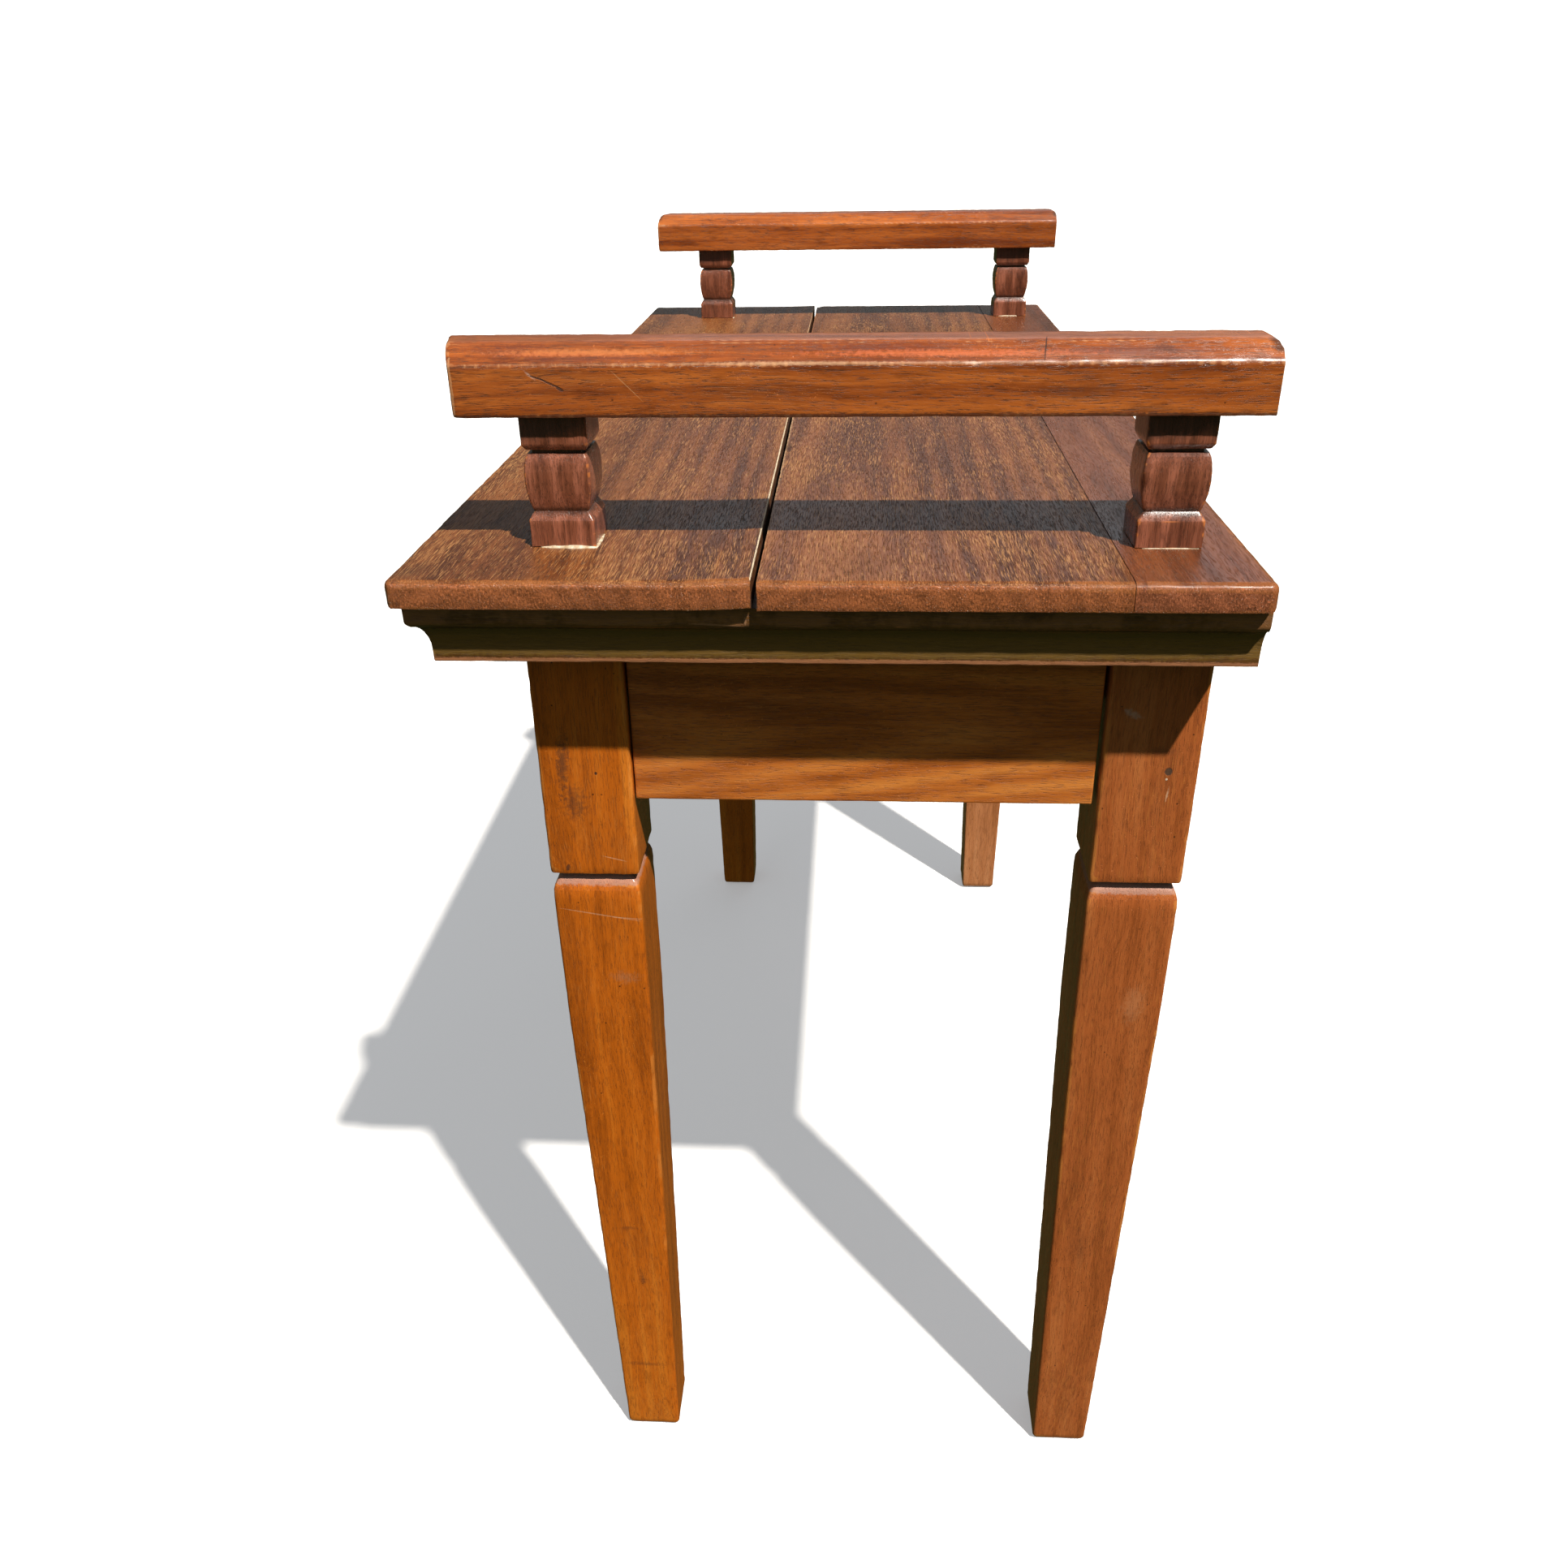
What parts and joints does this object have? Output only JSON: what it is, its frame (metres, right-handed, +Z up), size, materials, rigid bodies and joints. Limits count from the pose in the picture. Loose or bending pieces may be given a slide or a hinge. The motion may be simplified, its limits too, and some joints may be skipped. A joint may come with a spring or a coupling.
{
  "type": "sewing table",
  "caption": "Wooden sewing table: solid-board top with a raised gallery rail on short shaped posts at each end, coved moulding, square tapered legs and an apron drawer.",
  "frame": {"origin": "centre of the footprint, on the floor", "axes": "+X along the length of the table to the user's right, +Y to the back, +Z up; the user sits at the -Y side"},
  "size_m": [1.014, 0.462, 0.871],
  "materials": {
    "leg_wood": "worn orange-brown varnish, satin",
    "glide_steel": "plain steel, dulled",
    "apron_wood": "worn red-brown varnish, satin",
    "moulding_wood": "dark brown varnish, satin",
    "top_wood": "worn brown varnish with open pores, satin",
    "back_board_wood": "smooth reddish-brown varnish, satin",
    "post_wood": "dark red-brown varnish, satin",
    "rail_wood": "orange-red varnish worn at the arrises, glossy",
    "inner_wood": "bare pale wood, matt"
  },
  "bodies": {
    "table": {"front_left_leg": "leg_wood", "front_right_leg": "leg_wood", "back_left_leg": "leg_wood", "back_right_leg": "leg_wood", "front_left_foot_glide": "glide_steel", "front_right_foot_glide": "glide_steel", "back_left_foot_glide": "glide_steel", "back_right_foot_glide": "glide_steel", "left_batten_front_screw": "glide_steel", "left_batten_middle_screw": "glide_steel", "left_batten_back_screw": "glide_steel", "right_batten_front_screw": "glide_steel", "right_batten_middle_screw": "glide_steel", "right_batten_back_screw": "glide_steel", "left_end_apron": "apron_wood", "right_end_apron": "apron_wood", "back_apron": "apron_wood", "front_upper_rail": "apron_wood", "front_lower_rail": "apron_wood", "front_left_panel": "apron_wood", "front_right_panel": "apron_wood", "front_moulding": "moulding_wood", "left_end_moulding": "moulding_wood", "right_end_moulding": "moulding_wood", "front_top_board": "top_wood", "middle_top_board": "top_wood", "back_top_board": "back_board_wood", "front_left_post": "post_wood", "front_right_post": "post_wood", "back_left_post": "post_wood", "back_right_post": "post_wood", "left_gallery_rail": "rail_wood", "right_gallery_rail": "rail_wood", "front_left_corner_block": "inner_wood", "front_right_corner_block": "inner_wood", "back_left_corner_block": "inner_wood", "back_right_corner_block": "inner_wood", "left_top_batten": "inner_wood", "right_top_batten": "inner_wood", "drawer_left_runner": "inner_wood", "drawer_right_runner": "inner_wood", "drawer_left_kicker": "inner_wood", "drawer_right_kicker": "inner_wood", "drawer_left_stop": "inner_wood", "drawer_right_stop": "inner_wood", "front_left_post_foot_dowel": "inner_wood", "front_left_post_head_dowel": "inner_wood", "front_right_post_foot_dowel": "inner_wood", "front_right_post_head_dowel": "inner_wood", "back_left_post_foot_dowel": "inner_wood", "back_left_post_head_dowel": "inner_wood", "back_right_post_foot_dowel": "inner_wood", "back_right_post_head_dowel": "inner_wood"},
    "drawer": {"drawer_front": "apron_wood", "drawer_left_side": "inner_wood", "drawer_right_side": "inner_wood", "drawer_back": "inner_wood", "drawer_bottom": "inner_wood", "drawer_left_knob": "post_wood", "drawer_right_knob": "post_wood"}
  },
  "joints": [
    {"name": "drawer_slide", "type": "slide", "parent": "table", "child": "drawer", "axis": [0, -1, 0], "range_m": [0, 0.22]}
  ]
}
